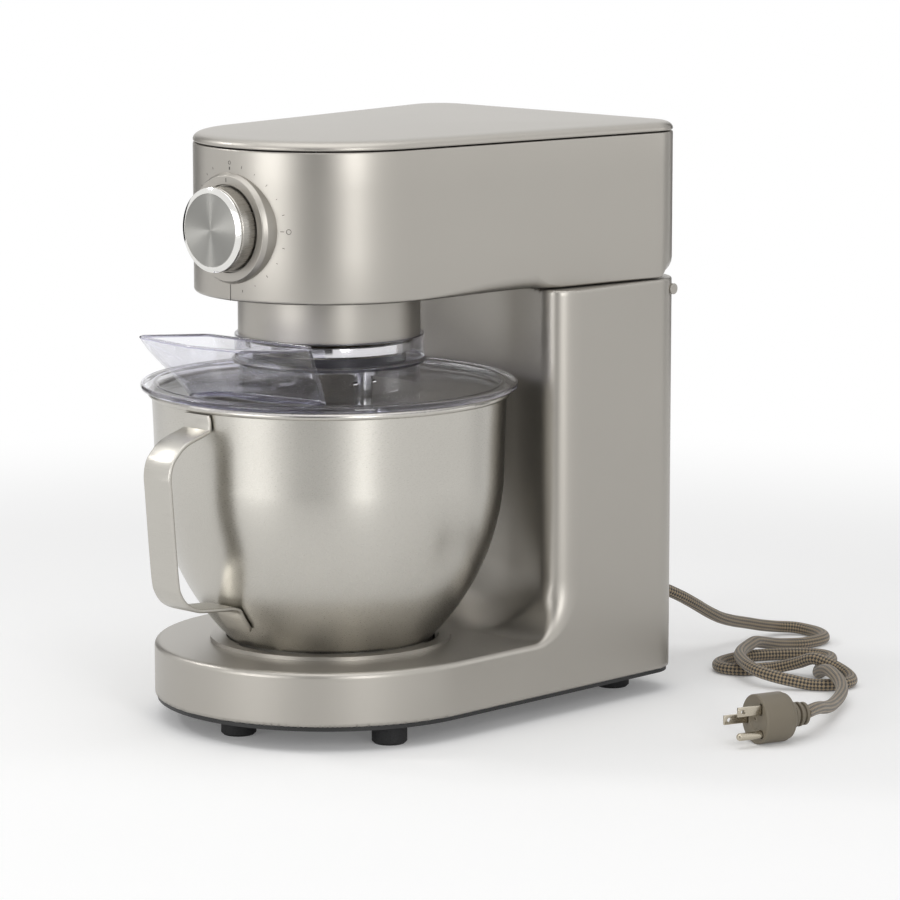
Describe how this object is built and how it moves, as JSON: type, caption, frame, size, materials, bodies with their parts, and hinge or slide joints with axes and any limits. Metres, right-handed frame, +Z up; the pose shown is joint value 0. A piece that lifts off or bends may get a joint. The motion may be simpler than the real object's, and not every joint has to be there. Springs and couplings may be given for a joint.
{
  "type": "stand mixer",
  "caption": "Tilt-head stand mixer with a planetary drive, steel bayonet bowl with strap handle, clear splash lid with pouring chute, speed knob and braided cord.",
  "frame": {"origin": "on the worktop, under the middle of the machine's width and depth without its cord", "axes": "+Z up, -Y to the front with the knob and the bowl's handle, +X to the user's right when they face the knob"},
  "size_m": [0.3872, 0.5464, 0.3725],
  "materials": {
    "satin_paint": "die-cast aluminium under a fine satin metallic paint, warm grey",
    "black_plastic": "moulded matte black",
    "rubber_foot": "soft matte rubber",
    "polished_seat": "polished steel",
    "cast_alloy": "as cast, lightly machined",
    "zinc_screw": "bright zinc",
    "shaft_steel": "ground steel",
    "circuit_board": "green board",
    "terminal_plastic": "pale moulded plastic",
    "motor_steel": "drawn steel can",
    "magnet": "dark ferrite",
    "winding": "copper winding and laminations",
    "black_rubber": "toothless flat belt",
    "black_hub": "moulded dark plastic",
    "brass_gear": "cut teeth",
    "bright_chrome": "polished chrome ring",
    "knob_metal": "satin turned metal with a fine grip",
    "spun_aluminium": "spun face with a bright bevelled edge",
    "bowl_steel": "brushed stainless steel",
    "strap_steel": "brushed stainless strap",
    "clear_plastic": "clear moulded plastic",
    "braid": "braided textile, dark and gold threads",
    "taupe_plug": "taupe moulded plastic",
    "pin_metal": "nickel-plated pins"
  },
  "bodies": {
    "body": {"body_shell": "satin_paint", "base_plate": "black_plastic", "base_screws": "zinc_screw", "feet": "rubber_foot", "bowl_seat": "polished_seat", "seat_support": "cast_alloy", "seat_screws": "zinc_screw", "rear_cover": "satin_paint", "rear_cover_screws": "zinc_screw", "column_frame": "cast_alloy", "hinge_pin": "shaft_steel", "power_board": "circuit_board", "power_parts": "black_plastic", "terminal_block": "terminal_plastic", "safety_switch": "black_plastic", "latch_spring": "shaft_steel", "cord_gland": "black_plastic", "power_cord": "braid", "plug_strain_relief": "taupe_plug", "plug_body": "taupe_plug", "plug_pins": "pin_metal"},
    "head": {"head_shell": "satin_paint", "head_cover": "satin_paint", "cover_screws": "zinc_screw", "latch_striker": "shaft_steel", "neck_housing": "satin_paint", "bearings": "shaft_steel", "ring_gear": "cast_alloy", "gear_plate": "cast_alloy", "motor_can": "motor_steel", "motor_mount": "black_plastic", "motor_magnets": "magnet", "drive_belt": "black_rubber", "dial_ring": "satin_paint", "speed_encoder": "black_plastic", "control_board": "circuit_board"},
    "latch": {"release_button": "satin_paint", "latch_bolt": "shaft_steel"},
    "knob": {"knob_body": "knob_metal", "knob_cap": "spun_aluminium", "encoder_shaft": "shaft_steel"},
    "rotor": {"motor_rotor": "winding", "motor_shaft": "shaft_steel", "motor_pulley": "cast_alloy"},
    "layshaft": {"layshaft": "shaft_steel", "layshaft_pinion": "brass_gear", "large_pulley": "black_hub"},
    "carrier": {"main_shaft": "shaft_steel", "main_gear": "brass_gear", "planet_carrier": "black_hub", "hub_skirt": "bright_chrome"},
    "tool": {"tool_shaft": "shaft_steel", "tool_pin": "shaft_steel", "planet_pinion": "brass_gear"},
    "bowl": {"bowl": "bowl_steel", "bowl_foot_ring": "bowl_steel", "bowl_handle": "strap_steel"},
    "lid": {"lid": "clear_plastic", "pouring_chute": "clear_plastic"}
  },
  "joints": [
    {"name": "head_tilt", "type": "hinge", "parent": "body", "child": "head", "pos_m": [0, 0.16725, 0.2825], "axis": [-1, 0, 0], "range_deg": [0, 45]},
    {"name": "latch_press", "type": "slide", "parent": "body", "child": "latch", "axis": [-1, 0, 0], "range_m": [0, 0.0025], "stiffness_N_per_m": 400, "springref_m": -0.002, "deforming": ["latch_spring"]},
    {"name": "knob_turn", "type": "hinge", "parent": "head", "child": "knob", "pos_m": [0, -0.12075, 0.315], "axis": [0, 1, 0], "range_deg": [-45, 165]},
    {"name": "carrier_spin", "type": "hinge", "parent": "head", "child": "carrier", "pos_m": [0, -0.03375, 0.26], "axis": [0, 0, 1], "continuous": true},
    {"name": "tool_spin", "type": "hinge", "parent": "carrier", "child": "tool", "pos_m": [0.03, -0.03375, 0.25], "axis": [0, 0, 1], "continuous": true},
    {"name": "layshaft_spin", "type": "hinge", "parent": "head", "child": "layshaft", "pos_m": [0, 0.0225, 0.3], "axis": [0, 0, 1], "continuous": true},
    {"name": "rotor_spin", "type": "hinge", "parent": "head", "child": "rotor", "pos_m": [0, 0.09825, 0.3], "axis": [0, 0, 1], "continuous": true},
    {"name": "bowl_twist", "type": "hinge", "parent": "body", "child": "bowl", "pos_m": [0, -0.03375, 0.048], "axis": [0, 0, 1], "range_deg": [0, 30]},
    {"name": "lid_turn", "type": "hinge", "parent": "head", "child": "lid", "pos_m": [0, -0.03375, 0.23], "axis": [0, 0, 1], "range_deg": [-20, 0]}
  ],
  "couplings": [
    {"joint": "tool_spin", "follows": "carrier_spin", "ratio": -3},
    {"joint": "layshaft_spin", "follows": "carrier_spin", "ratio": -4},
    {"joint": "rotor_spin", "follows": "carrier_spin", "ratio": -13.6}
  ]
}
